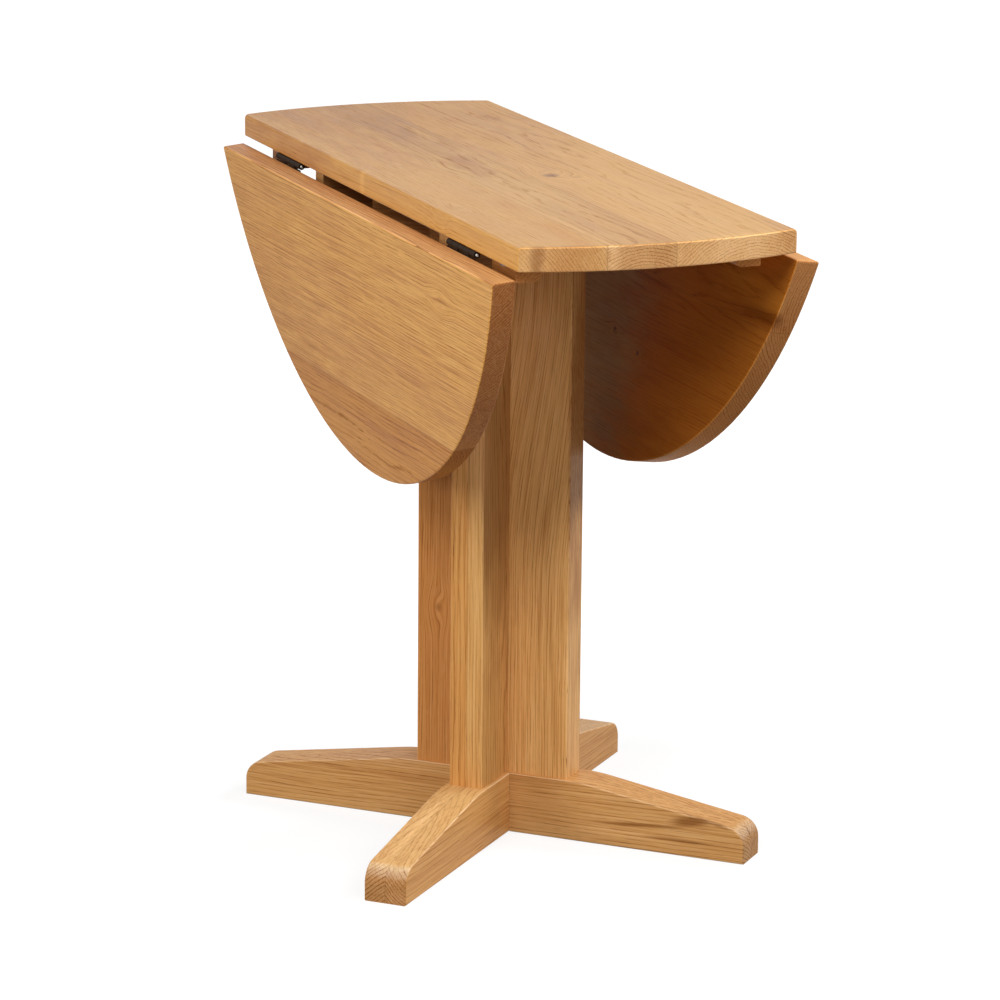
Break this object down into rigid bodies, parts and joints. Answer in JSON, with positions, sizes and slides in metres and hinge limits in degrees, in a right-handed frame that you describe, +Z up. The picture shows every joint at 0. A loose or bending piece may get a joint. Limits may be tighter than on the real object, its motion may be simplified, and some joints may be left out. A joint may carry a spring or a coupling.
{
  "type": "drop-leaf pedestal table",
  "caption": "Round oak pedestal table with a fixed centre strip and drop leaves on steel hinges, pull-out leaf supports and a cross-shaped column and foot, shown folded.",
  "frame": {"origin": "on the floor under the middle of the top", "axes": "+Z up, +Y along the hinge lines away from the viewer's end, +X towards the right leaf"},
  "size_m": [0.4622, 0.8998, 0.747],
  "materials": {
    "oak": "satin lacquered natural oak",
    "dowel_beech": "plain turned dowel",
    "hinge_steel": "dark oiled steel",
    "bright_steel": "bright drawn steel",
    "bar_steel": "cold-rolled flat bar",
    "zinc_steel": "zinc plated"
  },
  "bodies": {
    "pedestal": {"base_bolts": "zinc_steel", "base_washers": "zinc_steel", "batten_screws": "zinc_steel", "bearer_bolts": "zinc_steel", "bearer_screws": "zinc_steel", "bearer_washers": "zinc_steel", "centre_top": "oak", "column_dowels": "dowel_beech", "column_left_board": "oak", "column_main_board": "oak", "column_right_board": "oak", "far_batten": "oak", "far_left_fixed_flap": "hinge_steel", "far_left_hinge_pin": "bright_steel", "far_left_keeper": "oak", "far_right_fixed_flap": "hinge_steel", "far_right_hinge_pin": "bright_steel", "far_right_keeper": "oak", "fixed_flap_screws": "zinc_steel", "front_back_bearer": "oak", "front_back_foot": "oak", "keeper_screws": "zinc_steel", "left_right_bearer": "oak", "left_right_foot": "oak", "near_batten": "oak", "near_left_fixed_flap": "hinge_steel", "near_left_hinge_pin": "bright_steel", "near_left_keeper": "oak", "near_right_fixed_flap": "hinge_steel", "near_right_hinge_pin": "bright_steel", "near_right_keeper": "oak"},
    "left_leaf": {"left_leaf": "oak", "left_leaf_screws": "zinc_steel", "near_left_leaf_flap": "hinge_steel", "far_left_leaf_flap": "hinge_steel"},
    "right_leaf": {"right_leaf": "oak", "right_leaf_screws": "zinc_steel", "near_right_leaf_flap": "hinge_steel", "far_right_leaf_flap": "hinge_steel"},
    "near_left_bar": {"near_left_bar": "bar_steel", "near_left_bar_pegs": "bright_steel"},
    "near_right_bar": {"near_right_bar": "bar_steel", "near_right_bar_pegs": "bright_steel"},
    "far_left_bar": {"far_left_bar": "bar_steel", "far_left_bar_pegs": "bright_steel"},
    "far_right_bar": {"far_right_bar": "bar_steel", "far_right_bar_pegs": "bright_steel"}
  },
  "joints": [
    {"name": "left_leaf_hinge", "type": "hinge", "parent": "pedestal", "child": "left_leaf", "pos_m": [-0.151, 0, 0.7176], "axis": [0, 1, 0], "range_deg": [-5, 95.73]},
    {"name": "right_leaf_hinge", "type": "hinge", "parent": "pedestal", "child": "right_leaf", "pos_m": [0.151, 0, 0.7176], "axis": [0, -1, 0], "range_deg": [-5, 97.43]},
    {"name": "near_left_bar_slide", "type": "slide", "parent": "pedestal", "child": "near_left_bar", "axis": [-1, 0, 0], "range_m": [0, 0.11]},
    {"name": "near_right_bar_slide", "type": "slide", "parent": "pedestal", "child": "near_right_bar", "axis": [1, 0, 0], "range_m": [0, 0.11]},
    {"name": "far_left_bar_slide", "type": "slide", "parent": "pedestal", "child": "far_left_bar", "axis": [-1, 0, 0], "range_m": [0, 0.11]},
    {"name": "far_right_bar_slide", "type": "slide", "parent": "pedestal", "child": "far_right_bar", "axis": [1, 0, 0], "range_m": [0, 0.11]}
  ]
}
